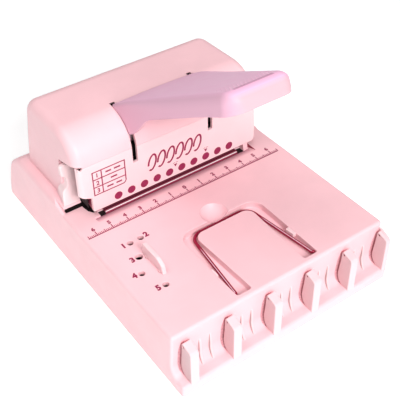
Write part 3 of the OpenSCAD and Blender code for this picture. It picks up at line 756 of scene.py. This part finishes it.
def make_throat():
    """Jaws of the paper throat and the cheeks beside them, with painted light: dark red shade on the jaws, ramp end and
    panel web, a shaded ramp skin, a highlight strip on the die edge, and near-black sheets of shade in the slit, the
    gap, the slot ends and on the die top.
    """
    holes = [(k - 4.5) * 8.467 for k in range(10)]
    die = xprism("die_plate_ground", [(13.9, -2.5), (36.2, -2.5), (36.2, 0), (14.6, 0), (13.9, -0.7)], -47, 45)
    boolean(die, [rod("hole", "z", (-4, 2), x, 22.4, 2.06, 32) for x in holes]
            + [rod("hole", "z", (-4, 2), x, 32, 1.6, 24) for x in (-40, 40)])
    finish(die, "base", DIE_SHADED, bevel=0.1, seg=1, angle=50, replaces=("die_plate",))
    # painted highlight: a thin near-white strip laid on the die's edge chamfer
    edge = xprism("die_edge_highlight_strip", [(14.08, -0.52), (14.5, -0.1), (14.46, -0.06), (14.04, -0.48)], -46.9, 44.6)
    finish(edge, "base", EDGE_HIGHLIGHT)
    guide = xprism("guide_plate_ground", fillet([(15.5, 1.6, 0.35), (36, 1.6), (36, 4), (15.5, 4)], 4), -50.5, 50.5)
    boolean(guide, [rod("hole", "z", (0, 6), x, 22.4, 2.05, 32) for x in holes]
            + [rod("hole", "z", (0, 6), x, 32, 1.6, 24) for x in (-40, 40)])
    finish(guide, "base", DIE_SHADED, bevel=0.1, seg=1, angle=50, replaces=("guide_plate",))
    cheek = xprism("throat_cheek", fillet([(13.2, -2.6), (16.8, -2.6), (16.8, 3.5), (13.7, 3.5, 0.5), (13.2, 0.4, 0.6)], 4), 48.9, 52.1, 0.25, 0.25, 3)
    finish(cheek, "base", "pink_plastic")
    slope = [(7.9, 0), (9.5, -0.2), (11, -0.46), (12.2, -0.75), (12.98, -0.99)]
    # painted shade: a thin skin on the ramp that darkens towards the throat
    skin = xprism("throat_ramp_shade_skin", ccw([(y, z - 0.03) for y, z in slope] + [(y, z + 0.03) for y, z in slope[::-1]]), -54.2, 52.1)
    finish(skin, "base", RAMP_SHADE)
    # painted shade: a thin dark red sheet on the ramp's end wall
    end = xprism("throat_end_shade_sheet", [(8.9, -0.25), (17.3, -2.64), (17.3, -0.05), (8.9, -0.05)], 54.62, 54.78)
    finish(end, "base", DIE_SHADED)
    # painted shade: the web is coloured dark red for its shade behind the panel
    web = xprism("panel_web", fillet([(15.3, 4.3, 0.4), (24, 5.7, 0.8), (24, 33), (15.3, 33)], 4), -53.95, -52.5, 0.2, 0.2, 3)
    finish(web, "base", DIE_SHADED)
    # painted shade: near-black sheets in the slit, the gap beside the bay, the lever slot ends, the nick, the slot ends
    # beside the die and two strips on the die top
    shade_sheets = [block("floor", (-65.3, 25.7, -0.13), (-51.3, 30.9, -0.03)), block("back", (-65.3, 30.8, -0.1), (-55.4, 30.95, 2.55)),
              block("roof", (-65.3, 27.2, 2.45), (-55.4, 30.9, 2.58)),
              zprism("gap_floor", [(-55.2, 30.9), (-55.2, 25.2), (-54.5, 20.4), (-52.8, 17.4), (-51.3, 17.4), (-51.3, 30.9)], -2.29, -2.1),
              block("gap_side", (-51.35, 17.3, -2.2), (-51.22, 30.9, 3.9)), block("gap_back", (-55.25, 30.8, -2.2), (-51.3, 30.95, 3.6)),
              block("gap_wall", (-55.1, 17.7, 4.2), (-54.95, 31.5, 35.4)),
              block("slot_end_l", (-26.95, 34.0, 50.3), (-24.05, 35.15, 51.9)), block("slot_end_r", (23.15, 34.0, 50.3), (26.05, 35.15, 51.9)),
              block("nick_back", (-59.9, 15.0, 33.0), (-56.8, 15.15, 34.8)),
              block("slot_l", (-50.75, 13.05, -3.0), (-47.1, 16.95, -0.9)), block("slot_r", (45.1, 13.05, -3.0), (48.75, 16.95, -0.9)),
              block("line_a", (-46.9, 17.0, -0.01), (44.9, 20.0, 0.03)), block("line_b", (-46.9, 15.65, -0.01), (44.9, 16.15, 0.03))]
    return finish(join("throat_painted_shade", shade_sheets), "base", SHADE_BLACK)


# --------------------------------------------------------------------- lever

TILT = math.radians(28.5)


def lv(x, s, z):
    """Lever coordinates (x, reach, height above the pivot) to the ruler frame."""
    return (-0.45 + x, 33 - s * math.cos(TILT) + z * math.sin(TILT), 33 + s * math.sin(TILT) + z * math.cos(TILT))


def half_w(s):
    return 26.4 + (18.2 - 26.4) * (s - 20) / 93.5


SKIRT = [(-9, 18), (5, 12), (17, 0.3), (20.3, 0.3), (24, 0.5), (27.1, 1.3), (30.5, 2.7), (33.7, 4.1), (37, 5.7), (40.1, 7.0), (44, 7.7),
         (48.6, 7.9), (60, 8.1), (70, 8.2), (83, 8.4), (94, 8.3), (104, 7.9), (115, 7.2)]
SIDE_S = [1, 5, 8, 10, 13, 16, 20, 24, 28, 32, 38, 46, 54, 62, 70, 78, 86, 94]


def lever_end(z):
    return float(np.interp(z, [7.3, 9.5, 12.5, 14.8, 16.4, 17.5, 18.25], [112.9, 113.5, 113.9, 113.5, 112.5, 111.3, 110.2]))


def lever_top(s):
    return float(np.interp(s, [2, 10, 16, 24, 32], [16.4, 17.0, 17.6, 18.15, 18.25]))


def lever_plan(z):
    """Outline of the lever at height z, counter-clockwise from the right root to the left root."""
    e = lever_end(z)
    q = np.interp(z, [7.3, 18.25], [0.0, 1.0])
    w0, w1 = half_w(1), half_w(e)
    rr, rl = 7.0 - 1.0 * q, 10.0 - 3.5 * q
    c = fillet([(w0, 1), (w1, e, rr), (-w1, e, rl), (-w0, 1)], 9)
    right, left = c[1:11], c[11:21]
    a, b = np.array(right[-1]), np.array(left[0])
    mid = [tuple(a + (b - a) * t) for t in (0.25, 0.5, 0.75)]
    return [(half_w(s), s) for s in SIDE_S] + right + mid + left + [(-half_w(s), s) for s in SIDE_S[::-1]]


def lever_body():
    base = lever_plan(7.3)
    n, ks = len(base), len(SIDE_S)
    m = ks + 10
    top, rad = [], []
    for i, (x, s) in enumerate(base):
        j = min(i, n - 1 - i)
        side = 2.0 + 3.0 * smooth01((s - 18) / 50.0)
        if x > 0:
            side *= 0.85
        if j < ks:
            rad.append(side)
        elif j < m:
            rad.append(side + (2.4 - side) * smooth01((j - ks) / 9.0))
        else:
            rad.append(2.4)
        top.append(lever_top(s))
    top, rad = np.array(top), np.array(rad)

    def ring(zs):
        pts = []
        for i in range(n):
            pts.append(lever_plan(zs[i])[i])
        return pts

    rings = [[(p[0], p[1], -14.0) for p in base]]
    for k in range(8):
        zs = 7.3 + (top - rad - 7.3) * k / 7.0
        rings.append([(p[0], p[1], zs[i]) for i, p in enumerate(ring(zs))])
    for k in range(1, 8):
        f = math.pi / 2 * k / 7
        zs = top - rad * (1 - math.sin(f))
        q = inset(ring(zs), rad * (1 - math.cos(f)))
        rings.append([(q[i][0], q[i][1], zs[i]) for i in range(n)])
    verts = [v for r in rings for v in r]
    faces = []
    for k in range(len(rings) - 1):
        for i in range(n):
            j = (i + 1) % n
            faces.append((k * n + i, k * n + j, (k + 1) * n + j, (k + 1) * n + i))
    faces.append(tuple(reversed(range(n))))
    # top skin: rows from side to side, with a slight crown
    o = (len(rings) - 1) * n
    rows = []
    for i in range(m):
        a, b = verts[o + i], verts[o + n - 1 - i]
        if i == m - 1:
            rows.append([o + i, o + m, o + m + 1, o + m + 2, o + n - 1 - i])
            continue
        row = [o + i]
        crown = 0.35 * smooth01((108 - a[1]) / 25.0)
        for t in (0.25, 0.5, 0.75):
            row.append(len(verts))
            verts.append(tuple(a[d] + (b[d] - a[d]) * t + (crown * (1 - (2 * t - 1) ** 2) if d == 2 else 0) for d in range(3)))
        rows.append(row + [o + n - 1 - i])
    for i in range(m - 1):
        for k in range(4):
            faces.append((rows[i][k], rows[i + 1][k], rows[i + 1][k + 1], rows[i][k + 1]))
    # root end of the top skin
    faces.append(tuple([o + n - 1, o] + rows[0][1:4]))
    return solid("lever_moulded", [lv(*v) for v in verts], faces)


def make_lever():
    shell = lever_body()
    boolean(shell, rod("root", "x", (-50, 50), 33, 33, 19.8, 160))
    under = [(-14, -40)] + [(125, -40), (125, 6.6)] + SKIRT[::-1] + [(-14, 18)]
    boolean(shell, solid("under", *loft([[lv(x, s, z) for s, z in under] for x in (-45, 45)])))
    w0, w1 = half_w(1) - 2.45, half_w(107.1) - 2.45
    boolean(shell, zprism("lever_in", fillet([(w0, 1), (w1, 107.1, 4), (-w1, 107.1, 4), (-w0, 1)], 6), -16, 15.7, 0, 1.6, 4, put=lv))
    bm = bmesh.new()
    bm.from_mesh(shell.data)
    bmesh.ops.remove_doubles(bm, verts=bm.verts, dist=1e-4)
    bm.to_mesh(shell.data)
    bm.free()
    arms = []
    for s in (-1, 1):
        a = [(0, 0)] + [(20.6 * math.cos(math.radians(q)), 20.6 * math.sin(math.radians(q))) for q in np.linspace(4, 57, 12)]
        x0, x1 = s * 25.05 - 1.1, s * 25.05 + 1.1
        arms.append(solid("arm", *loft([[lv(x, p[0], p[1]) for p in a] for x in (x0, x1)])))
        x0, x1 = s * 24.325 - 1.825, s * 24.325 + 1.825
        arms.append(rod("hub", "x", (x0 - 0.45, x1 - 0.45), 33, 33, 6.2, 48))
    boolean(shell, arms, "UNION")
    boolean(shell, rod("bore", "x", (-50, 50), 33, 33, 4.05, 48))
    p = lv(0, 11.2 * math.cos(math.radians(22.5) - TILT), 11.2 * math.sin(math.radians(22.5) - TILT))
    eyes = [rod("eye", "x", (s * 25.05 - 1.55, s * 25.05 + 0.65), p[1], p[2], 3.7, 40) for s in (-1, 1)]
    boolean(shell, eyes, "UNION")
    boolean(shell, rod("bore", "x", (-50, 50), p[1], p[2], 2.05, 32))
    finish(shell, "lever", "mauve_plastic", bevel=0.3, seg=2, angle=52, replaces=("lever_shell",))
    # rows of small grip studs along the front edge
    studs = []
    for row in range(6):
        for k in range(13):
            x = -12.9 + 2.1 * k + 1.05 * (row % 2)
            prof = [(0.42, -0.25), (0.42, 0.0), (0.34, 0.10), (0.2, 0.15), (0.06, 0.17)]
            studs.append(lathe("stud", prof, (x, 106.3 - 2.0 * row, lever_top(107.0) + 0.01), 10, put=lv))
    finish(join("lever_grip_studs", studs), "lever", "mauve_plastic", sharp=60)
    # painted shade: a thin darker strip along the top edge of the tip
    crease_shade = solid("lever_crease_painted_shade", *loft([[lv(x, q, z) for q, z in ((107.2, 18.1), (109.45, 17.8), (109.5, 17.97), (108.4, 18.23), (107.8, 18.28), (107.2, 18.285))]
                                          for x in np.linspace(-11.0, 11.6, 9)]))
    return finish(crease_shade, "lever", CREASE_SHADE)


# ------------------------------------------------------- wire, stop, drawer

def tube(name, path, r, n=20, close=True):
    """Round wire along a path of points, its ends slightly rounded."""
    P = [Vector(p) for p in path]
    rings = []
    up = Vector((0, 0, 1))
    for i, p in enumerate(P):
        t = (P[min(i + 1, len(P) - 1)] - P[max(i - 1, 0)]).normalized()
        a = t.cross(up)
        a = a.normalized() if a.length > 1e-6 else Vector((1, 0, 0))
        b = a.cross(t).normalized()
        rings.append((p, a, b, t))

    def ring(p, a, b, q):
        return [tuple(p + a * (q * math.cos(2 * math.pi * k / n)) + b * (q * math.sin(2 * math.pi * k / n))) for k in range(n)]

    out = []
    p, a, b, t = rings[0]
    out += [ring(p, a, b, r * 0.72), ring(p + t * (0.12 * r), a, b, r * 0.9)]
    out += [ring(p + (t * (0.35 * r) if i == 0 else (-t * (0.35 * r) if i == len(rings) - 1 else t * 0)), a, b, r)
            for i, (p, a, b, t) in enumerate(rings)]
    p, a, b, t = rings[-1]
    out += [ring(p - t * (0.12 * r), a, b, r * 0.9), ring(p, a, b, r * 0.72)]
    return solid(name, *loft(out))


def make_bail():
    t = math.atan2(5.5, 48.3)
    bend = math.pi / 2 - t
    cx = -24.8 + 5.5 + 7 * math.tan(bend / 2)
    half = [(-29.1, -76.3), (-27.5, -76.3)]
    # the ends turn outwards into the pivot bores
    rc = 1.15
    c = (-24.8 - rc - 0.15, -76.3 + rc)
    half += [(c[0] + rc * math.cos(math.radians(a)), c[1] + rc * math.sin(math.radians(a))) for a in (-90, -72, -54, -36, -18, -2)]
    a0, a1 = math.pi / 2 + bend, math.pi / 2
    half += [(cx + 7 * math.cos(a0 + (a1 - a0) * k / 12), -35 + 7 * math.sin(a0 + (a1 - a0) * k / 12)) for k in range(13)]
    path = half + [(-x, y) for x, y in half[::-1]]
    # the cross piece lies a little deeper and closer to the island
    ob = tube("wire_bail_drawn", [(x, y - 0.4 * smooth01((y + 40) / 10.0), -2.1 - 0.33 * smooth01((y + 45) / 14.0)) for x, y in path], 0.94, 24)
    return finish(ob, "bail", "bail_wire", replaces=("wire_bail",), sharp=60)


def make_clips():
    prof = fillet([(-61.6, -2.5), (-55.5, -2.5), (-55.5, -0.7, 0.5), (-56.8, -0.3, 0.4), (-60.3, -0.3, 0.4), (-61.6, -0.7, 0.5)], 3)
    left = xprism("clip", prof, -26.3, -25.2, 0.25, 0.25, 3)
    # the right clip's nose runs along the wire
    right = zprism("clip", fillet([(26.3, -61.6), (26.3, -55.5), (23.8, -55.5, 0.5), (24.42, -61.6, 0.4)], 4), -2.2, 0, 0, 0.35, 3)
    return finish(join("bail_clips_moulded", [left, right]), "base", "pale_plastic", replaces=("bail_clips",))


def make_stop():
    prof = [(-26.0, 0.05)] + fillet([(-26.0, 0.05), (-26.0, 7.5, 1.0), (-39.6, 7.5, 4.0), (-44.3, 5.0, 2.2), (-45.45, 0.05)], 6)[1:-1] + [(-45.45, 0.05)]
    fin = xprism("paper_stop_moulded", prof, -48.2, -45.7, 0.5, 0.5, 5)
    pegs = [lathe("peg", [(1.1, -3.2), (1.45, -3.0), (1.6, -2.6), (1.6, 0.6)], (-46.95, y, 0), 28) for y in (-29.5, -42)]
    boolean(fin, pegs, "UNION")
    return finish(fin, "stop", "pale_plastic", replaces=("paper_stop",))


def make_drawer():
    tray = block("chip_drawer_moulded", (-52, 12, -33.7), (66.2, 58, -9))
    front = zprism("front", fillet([(10.25, -33.7, 0.8), (59.75, -33.7, 0.8), (59.75, -7.25, 0.8), (10.25, -7.25, 0.8)], 4),
                   XR - 4, XR, 0.2, 0.5, 4, put=lambda a, b, c: (c, a, b))
    boolean(tray, front, "UNION")
    boolean(tray, zprism("inside", fillet([(-50.4, 13.6, 1.5), (XR - 4, 13.6, 1.5), (XR - 4, 56.4, 1.5), (-50.4, 56.4, 1.5)], 4),
                         -32.1, 3))
    grip = zprism("grip", fillet([(24, -27, 2.5), (46, -27, 2.5), (46, -14, 2.5), (24, -14, 2.5)], 5), XR - 2.6, XR + 1,
                  put=lambda a, b, c: (c, a, b))
    boolean(tray, grip)
    return finish(tray, "drawer", "pink_plastic", bevel=0.3, seg=2, angle=50, replaces=("chip_drawer",))


def make_springs():
    parts = []
    for s in (-1, 1):
        path = []
        n = 7 * 24
        for i in range(n + 1):
            q = i / n
            # closed and flattened end turns
            t = q * 7
            flat = 0.45 * min(t, 1.0) if t < 1 else (0.45 + (t - 1) * ((20.0 - 0.9) / 5.0) if t < 6 else 0.45 + 19.1 + 0.45 * (t - 6))
            a = 2 * math.pi * t
            path.append((s * 44 + 2.6 * math.cos(a), 22.4 + 2.6 * math.sin(a), 4.45 + flat * (20.1 / 20.0)))
        parts.append(tube("coil", path, 0.39, 10))
    ob = finish(join("return_springs_wound", parts), "base", "spring_steel", replaces=("return_springs",), sharp=60)
    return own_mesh(ob)


def make_feet():
    parts = []
    for x, y in ((-57, -69), (58.8, -69), (-57, 90), (58.8, 90)):
        prof = [(3.6, -36.55), (3.9, -36.95), (4.2, -37), (5.3, -37), (5.75, -36.8), (6.0, -36.3), (6.0, -35.1)]
        parts.append(lathe("foot", prof, (x, y, 0), 40))
    return finish(join("rubber_feet_moulded", parts), "base", "foot_rubber", replaces=("rubber_feet",))


# --------------------------------------------------------------------- print

PV, PF = [], []
HV, HF = [], []
T_INK = 0.05


def deck_put(x, y, h):
    return (x, y, -0.02 + h)


def panel_put(x, z, h):
    return (x, 13.6 + 0.02 - h, z)


def ink_poly(store, poly, put):
    V, F = store
    n, b = len(poly), len(V)
    poly = ccw(poly)
    V += [put(u, v, 0.0) for u, v in poly] + [put(u, v, T_INK) for u, v in poly]
    for i in range(n):
        j = (i + 1) % n
        F.append((b + i, b + j, b + n + j, b + n + i))
    F.append(tuple(b + i for i in reversed(range(n))))
    F.append(tuple(b + n + i for i in range(n)))


def ink_bar(store, x0, y0, x1, y1, put):
    ink_poly(store, [(x0, y0), (x1, y0), (x1, y1), (x0, y1)], put)


def ink_strip(store, line, w, put):
    """A stroke of width w along a line."""
    P = np.array(line, float)
    d = np.gradient(P, axis=0)
    d /= np.linalg.norm(d, axis=1)[:, None]
    nrm = np.stack([-d[:, 1], d[:, 0]], 1) * w / 2
    V, F = store
    b, n = len(V), len(P)
    for h in (0.0, T_INK):
        V += [put(*(P[i] + nrm[i]), h) for i in range(n)] + [put(*(P[i] - nrm[i]), h) for i in range(n)]
    lo_a, lo_b, hi_a, hi_b = b, b + n, b + 2 * n, b + 3 * n
    for i in range(n - 1):
        F.append((lo_a + i, lo_a + i + 1, lo_b + i + 1, lo_b + i))
        F.append((hi_a + i, hi_b + i, hi_b + i + 1, hi_a + i + 1))
        F.append((lo_a + i, hi_a + i, hi_a + i + 1, lo_a + i + 1))
        F.append((lo_b + i, lo_b + i + 1, hi_b + i + 1, hi_b + i))
    F.append((lo_a, lo_b, hi_b, hi_a))
    e = n - 1
    F.append((lo_a + e, hi_a + e, hi_b + e, lo_b + e))


def ink_text(store, text, size, x, y, put, turn=0.0, bold=0.05):
    """Plain numerals, height size, centred at (x, y)."""
    cu = bpy.data.curves.new("num", "FONT")
    cu.body = text
    cu.size = size / 0.70
    cu.align_x = "CENTER"
    cu.align_y = "CENTER"
    cu.extrude = T_INK / 2
    cu.offset = bold
    cu.resolution_u = 4
    ob = bpy.data.objects.new("num", cu)
    col.objects.link(ob)
    bpy.context.view_layer.update()
    dg = bpy.context.evaluated_depsgraph_get()
    me = bpy.data.meshes.new_from_object(ob.evaluated_get(dg))
    co = np.array([v.co for v in me.vertices])
    mid = (co[:, :2].min(0) + co[:, :2].max(0)) / 2
    c, s = math.cos(turn), math.sin(turn)
    V, F = store
    b = len(V)
    for v in co:
        u, w = v[0] - mid[0], v[1] - mid[1]
        V.append(put(x + c * u - s * w, y + s * u + c * w, float(v[2]) + T_INK / 2))
    F += [tuple(b + i for i in p.vertices) for p in me.polygons]
    bpy.data.objects.remove(ob)
    bpy.data.curves.remove(cu)
    bpy.data.meshes.remove(me)


def make_print():
    deck, panel = (PV, PF), (HV, HF)
    # ruler
    ink_bar(deck, -65.5, -0.36, 65.1, 0.3, deck_put)
    for i in range(-65, 66):
        h = 3.4 if i % 10 == 0 else (2.2 if i % 5 == 0 else 1.6)
        w = 0.3 if i % 10 == 0 else (0.26 if i % 5 == 0 else 0.2)
        ink_bar(deck, i - w, 0.3, i + w, h, deck_put)
    for k in range(-6, 7):
        ink_text(deck, str(abs(k)), 2.6, k * 10.0, 5.4, deck_put, bold=0.20)
    # numerals beside the index holes
    for text, x, y in (("1", -53.3, -15.3), ("2", -38.9, -14.5), ("3", -55.0, -26.9), ("4", -60.1, -37.2), ("5", -54.8, -51.1)):
        ink_text(deck, text, 3.4, x, y, deck_put, bold=0.26)
    # ten dots over the punches, and two pointers
    for i in range(10):
        x = (i - 4.5) * 8.467
        ink_poly(panel, arc(x, 7.7, 2.5, 0, 352.5, 47), panel_put)
    for x, z in ((0.0, 11.0), (21.2, 12.0)):
        ink_poly(panel, [(x, z - 1.1), (x + 1.15, z + 0.9), (x - 1.15, z + 0.9)], panel_put)
        ink_bar(panel, x - 1.6, z + 1.6, x - 0.3, z + 1.95, panel_put)
        ink_bar(panel, x + 0.3, z + 1.6, x + 1.6, z + 1.95, panel_put)
    # chart: plain numerals and bars
    x0, x1, xm, z0, z1 = -52.3, -32.5, -46.9, 14.5, 29.8
    frame_line = [(x0, z1), (x0, z0)] + [(x1 - 2.2, z0)] + arc(x1 - 2.2, z0 + 2.2, 2.2, -75, -15, 4) + [(x1, z0 + 2.2), (x1, z1)]
    w = 0.34
    ink_bar(panel, x0 - w, z0 - w, x0 + w, z1 + w, panel_put)
    ink_bar(panel, x0 + w, z1 - w, x1 + w, z1 + w, panel_put)
    ink_strip(panel, [(x0 + w, z0), (x1 - 2.4, z0)], 2 * w, panel_put)
    ink_strip(panel, [(x1 - 2.4, z0)] + arc(x1 - 2.2, z0 + 2.2, 2.2, -90, 0, 10) + [(x1, z0 + 2.6)], 2 * w, panel_put)
    ink_strip(panel, [(x1, z0 + 2.6), (x1, z1 - w)], 2 * w, panel_put)
    ink_bar(panel, xm - w, z0 + w, xm + w, z1 - w, panel_put)
    rows = [z0 + (z1 - z0) * k / 3 for k in (1, 2)]
    for z in rows:
        ink_bar(panel, x0 + w, z - w, xm - w, z + w, panel_put)
        ink_bar(panel, xm + w, z - w, x1 - w, z + w, panel_put)
    mid = [z0 + (z1 - z0) * (k + 0.5) / 3 for k in (2, 1, 0)]
    for k, z in enumerate(mid):
        ink_text(panel, str(k + 1), 2.7, (x0 + xm) / 2, z, panel_put, bold=0.12)
    for z, bars in zip(mid, (((-44.4, -40.9), (-39.2, -35.2)), ((-41.6, -37.6),), ((-44.4, -40.4), (-38.6, -35.0)))):
        for a, b in bars:
            ink_bar(panel, a, z - 0.5, b, z + 0.5, panel_put)
    # row of coil turns
    for i in range(6):
        cx = -15.2 + i * 6.1
        line = []
        for k in range(41):
            a = math.radians(-118 + 318 * k / 40)
            u, v = 2.35 * math.cos(a), 5.0 * math.sin(a)
            line.append((cx + u + 0.22 * v, 20.0 + v))
        ink_strip(panel, line, 1.2, panel_put)
    for name, (V, F) in (("print_deck", deck), ("print_panel", panel)):
        me = bpy.data.meshes.new(name)
        me.from_pydata([tuple(map(float, v)) for v in V], [], F)
        ob = bpy.data.objects.new(name, me)
        col.objects.link(ob)
        bm = bmesh.new()
        bm.from_mesh(me)
        bmesh.ops.recalc_face_normals(bm, faces=bm.faces)
        bm.to_mesh(me)
        bm.free()
        me.transform(Matrix.Scale(0.001, 4) @ Matrix.Translation(SHIFT))
        me.materials.append(INK)
        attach(ob, "base")


make_base()
make_ribs()
make_hooks()
make_head()
make_post()
make_throat()
make_lever()
make_bail()
make_clips()
make_stop()
make_drawer()
make_springs()
make_feet()
make_print()

# CAD nodes that stay: their own finish, and a small edge break
slots = {s["node"]: s["material_slot"] for s in frame["record"]["subparts"]}
for name, ob in frame["nodes"].items():
    if ob.hide_render:
        continue
    mat = MAT[slots[name]]
    if ob.material_slots:
        for s in ob.material_slots:
            s.material = mat
    else:
        ob.data.materials.append(mat)
    w = ob.modifiers.new("weld", "WELD")
    w.merge_threshold = 2e-6
    b = ob.modifiers.new("edge", "BEVEL")
    b.width = 0.00015
    b.segments = 2
    b.limit_method = "ANGLE"
    b.angle_limit = math.radians(48)
    b.use_clamp_overlap = True
    n = ob.modifiers.new("normals", "WEIGHTED_NORMAL")
    n.keep_sharp = True


# ---------------------------------------------------------- floor, light, camera

def area(name, loc, target, size, power, spread=180):
    li = bpy.data.lights.new(name, "AREA")
    li.shape = "RECTANGLE"
    li.size, li.size_y = size
    li.energy = power
    li.spread = math.radians(spread)
    ob = bpy.data.objects.new(name, li)
    ob.location = loc
    ob.rotation_mode = "QUATERNION"
    ob.rotation_quaternion = (Vector(target) - Vector(loc)).to_track_quat("-Z", "Y")
    col.objects.link(ob)
    return ob


floor_me = bpy.data.meshes.new("floor")
floor_me.from_pydata([(-4, -4, 0), (4, -4, 0), (4, 4, 0), (-4, 4, 0)], [], [(0, 1, 2, 3)])
floor = bpy.data.objects.new("floor", floor_me)
col.objects.link(floor)
fm, fnt, fb = new_mat("floor_white")
fb.inputs["Base Color"].default_value = (0.93, 0.93, 0.93, 1)
fb.inputs["Roughness"].default_value = 0.9
fb.inputs["Specular IOR Level"].default_value = 0.1
fb.inputs["Emission Color"].default_value = (1, 1, 1, 1)
fb.inputs["Emission Strength"].default_value = 0.35
floor_me.materials.append(fm)

world = bpy.data.worlds.new("studio")
scene.world = world
world.use_nodes = True
bg = next(n for n in world.node_tree.nodes if n.type == "BACKGROUND")
bg.inputs["Color"].default_value = (1, 1, 1, 1)
bg.inputs["Strength"].default_value = 0.17

area("key", (-0.14, -0.85, 0.60), (-0.075, -0.09, 0.03), (0.5, 0.4), 1.7, spread=75)
area("fill", (-0.22, 0.02, 1.25), (-0.02, 0, 0.05), (1.5, 1.5), 8.3)
area("side", (-0.40, 0.10, 1.05), (0, 0, 0.05), (0.35, 0.35), 1.2)

cam_data = bpy.data.cameras.new("camera")
cam_data.sensor_width = 36.0
cam_data.lens = 36.0 * 780.556 / 400.0
cam_data.clip_start, cam_data.clip_end = 0.01, 20.0
cam = bpy.data.objects.new("camera", cam_data)
az, el, roll = math.radians(-34.708), math.radians(40.847), math.radians(-1.232)
back = Vector((math.sin(az) * math.cos(el), -math.cos(az) * math.cos(el), math.sin(el)))
right = Vector((0, 0, 1)).cross(back).normalized()
up = back.cross(right)
cx_ = right * math.cos(roll) + up * math.sin(roll)
cy_ = -right * math.sin(roll) + up * math.cos(roll)
rot = Matrix((cx_, cy_, back)).transposed()
cam.matrix_world = Matrix.Translation((-0.189035, -0.288972, 0.32366)) @ rot.to_4x4()
col.objects.link(cam)
scene.camera = cam

scene.view_settings.view_transform = "Standard"
scene.view_settings.look = "None"
scene.view_settings.exposure = 0.0
